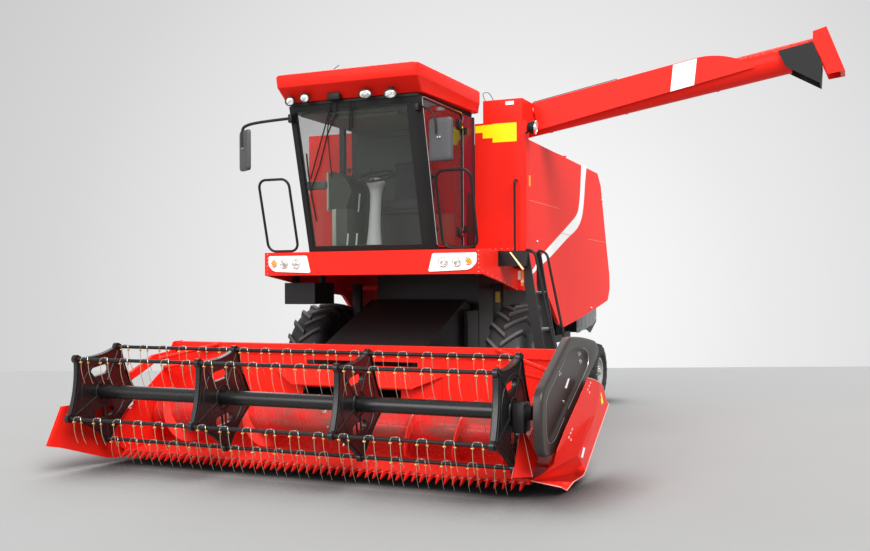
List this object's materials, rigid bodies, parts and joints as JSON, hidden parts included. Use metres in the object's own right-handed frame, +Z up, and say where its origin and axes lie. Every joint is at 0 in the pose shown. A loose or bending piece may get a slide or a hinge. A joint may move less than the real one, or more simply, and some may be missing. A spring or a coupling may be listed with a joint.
{
  "type": "combine harvester",
  "caption": "Self-propelled grain combine harvester: cab, grain tank, unloading auger, feeder house and a cutting table with a turning reel that lifts.",
  "frame": {"origin": "on the ground under the middle of the whole machine's box", "axes": "+X to the machine's left, +Y to its rear, +Z up"},
  "size_m": [6.9519, 8.322, 4.3685],
  "materials": {
    "red_paint": "gloss",
    "black_paint": "satin",
    "tyre": "matt",
    "rim_paint": "satin",
    "engine_iron": "matt",
    "exhaust_steel": "matt",
    "window_glass": "tinted",
    "lamp_white": "gloss",
    "black_plastic": "satin",
    "column_grey": "matt",
    "seat_cover": "woven",
    "chrome_rod": "polished",
    "rubber": "matt"
  },
  "bodies": {
    "machine": {"chassis_frame": "black_paint", "front_axle": "black_paint", "rear_axle": "black_paint", "thresher_body": "black_paint", "straw_hood": "black_paint", "grain_tank": "red_paint", "front_columns": "red_paint", "side_panels": "red_paint", "rear_cover": "red_paint", "engine": "engine_iron", "radiator": "black_paint", "exhaust": "exhaust_steel", "deck": "red_paint", "headlamps": "lamp_white", "work_lamps": "black_plastic", "ladder": "black_paint", "handrails": "black_paint", "battery_box": "black_paint", "cab_frame": "black_paint", "cab_roof": "red_paint", "cab_glass": "window_glass", "seat_frame": "black_plastic", "seat_cushions": "seat_cover", "steering_column": "column_grey", "mirrors": "black_plastic", "auger_turret": "red_paint"},
    "cab_door": {"door_frame": "black_paint", "door_glass": "window_glass"},
    "table": {"feeder_house": "black_paint", "header_frame": "red_paint", "cutterbar": "red_paint", "dividers": "red_paint"},
    "table_auger": {"header_auger": "red_paint"},
    "lift_barrels": {"lift_barrels": "black_paint"},
    "lift_rods": {"lift_rods": "chrome_rod"},
    "reel_arms": {"reel_arms": "red_paint", "belt_guard": "black_plastic"},
    "reel": {"reel_core": "black_paint"},
    "unloading_auger": {"unload_tube": "red_paint", "unload_spout": "rubber"},
    "front_wheel_left": {"front_tyre_left": "tyre", "front_rim_left": "rim_paint"},
    "front_wheel_right": {"front_tyre_right": "tyre", "front_rim_right": "rim_paint"},
    "knuckle_left": {"steering_knuckle_left": "black_paint"},
    "knuckle_right": {"steering_knuckle_right": "black_paint"},
    "rear_wheel_left": {"rear_tyre_left": "tyre", "rear_rim_left": "rim_paint"},
    "rear_wheel_right": {"rear_tyre_right": "tyre", "rear_rim_right": "rim_paint"},
    "tine_bar_1": {"tine_bar_1": "black_paint"},
    "tine_bar_2": {"tine_bar_2": "black_paint"},
    "tine_bar_3": {"tine_bar_3": "black_paint"},
    "tine_bar_4": {"tine_bar_4": "black_paint"},
    "tine_bar_5": {"tine_bar_5": "black_paint"}
  },
  "joints": [
    {"name": "door_swing", "type": "hinge", "parent": "machine", "child": "cab_door", "pos_m": [-0.324, -1.299, 2.8], "axis": [0, 0, 1], "range_deg": [0, 75]},
    {"name": "table_lift", "type": "hinge", "parent": "machine", "child": "table", "pos_m": [-1.124, -0.809, 1.38], "axis": [-1, 0, 0], "range_deg": [0, 24]},
    {"name": "lift_barrel_pivot", "type": "hinge", "parent": "machine", "child": "lift_barrels", "pos_m": [-1.124, -0.749, 0.6], "axis": [-1, 0, 0], "range_deg": [0, 22.05]},
    {"name": "lift_rod_slide", "type": "slide", "parent": "lift_barrels", "child": "lift_rods", "axis": [0, -0.9924, -0.123], "range_m": [0, 0.322]},
    {"name": "table_auger_spin", "type": "hinge", "parent": "table", "child": "table_auger", "pos_m": [-1.124, -2.764, 0.43], "axis": [-1, 0, 0], "continuous": true},
    {"name": "reel_lift", "type": "hinge", "parent": "table", "child": "reel_arms", "pos_m": [-1.124, -2.399, 1.11], "axis": [-1, 0, 0], "range_deg": [0, 20]},
    {"name": "reel_spin", "type": "hinge", "parent": "reel_arms", "child": "reel", "pos_m": [-1.124, -3.674, 0.75], "axis": [1, 0, 0], "continuous": true},
    {"name": "tine_bar_1_turn", "type": "hinge", "parent": "reel", "child": "tine_bar_1", "pos_m": [-1.124, -3.20453, 0.67144], "axis": [1, 0, 0], "continuous": true},
    {"name": "tine_bar_2_turn", "type": "hinge", "parent": "reel", "child": "tine_bar_2", "pos_m": [-1.124, -3.45421, 1.17222], "axis": [1, 0, 0], "continuous": true},
    {"name": "tine_bar_3_turn", "type": "hinge", "parent": "reel", "child": "tine_bar_3", "pos_m": [-1.124, -4.00763, 1.08951], "axis": [1, 0, 0], "continuous": true},
    {"name": "tine_bar_4_turn", "type": "hinge", "parent": "reel", "child": "tine_bar_4", "pos_m": [-1.124, -4.09999, 0.53761], "axis": [1, 0, 0], "continuous": true},
    {"name": "tine_bar_5_turn", "type": "hinge", "parent": "reel", "child": "tine_bar_5", "pos_m": [-1.124, -3.60364, 0.27923], "axis": [1, 0, 0], "continuous": true},
    {"name": "unloading_swing", "type": "hinge", "parent": "machine", "child": "unloading_auger", "pos_m": [-0.074, -0.359, 3.587], "axis": [0, 0, 1], "range_deg": [0, 90]},
    {"name": "front_wheel_left_roll", "type": "hinge", "parent": "machine", "child": "front_wheel_left", "pos_m": [0.111, -0.709, 0.78], "axis": [-1, 0, 0], "continuous": true},
    {"name": "steer_left", "type": "hinge", "parent": "machine", "child": "knuckle_left", "pos_m": [-0.244, 3.291, 0.435], "axis": [0, 0, 1], "range_deg": [-32, 32]},
    {"name": "rear_wheel_left_roll", "type": "hinge", "parent": "knuckle_left", "child": "rear_wheel_left", "pos_m": [-0.064, 3.291, 0.435], "axis": [-1, 0, 0], "continuous": true},
    {"name": "front_wheel_right_roll", "type": "hinge", "parent": "machine", "child": "front_wheel_right", "pos_m": [-2.359, -0.709, 0.78], "axis": [-1, 0, 0], "continuous": true},
    {"name": "steer_right", "type": "hinge", "parent": "machine", "child": "knuckle_right", "pos_m": [-2.004, 3.291, 0.435], "axis": [0, 0, 1], "range_deg": [-32, 32]},
    {"name": "rear_wheel_right_roll", "type": "hinge", "parent": "knuckle_right", "child": "rear_wheel_right", "pos_m": [-2.184, 3.291, 0.435], "axis": [-1, 0, 0], "continuous": true}
  ],
  "couplings": [
    {"joint": "lift_barrel_pivot", "follows": "table_lift", "ratio": 0.91827},
    {"joint": "lift_rod_slide", "follows": "table_lift", "m_per_rad": 0.76848},
    {"joint": "steer_right", "follows": "steer_left", "ratio": 1},
    {"joint": "tine_bar_1_turn", "follows": "reel_spin", "ratio": -1},
    {"joint": "tine_bar_2_turn", "follows": "reel_spin", "ratio": -1},
    {"joint": "tine_bar_3_turn", "follows": "reel_spin", "ratio": -1},
    {"joint": "tine_bar_4_turn", "follows": "reel_spin", "ratio": -1},
    {"joint": "tine_bar_5_turn", "follows": "reel_spin", "ratio": -1}
  ]
}
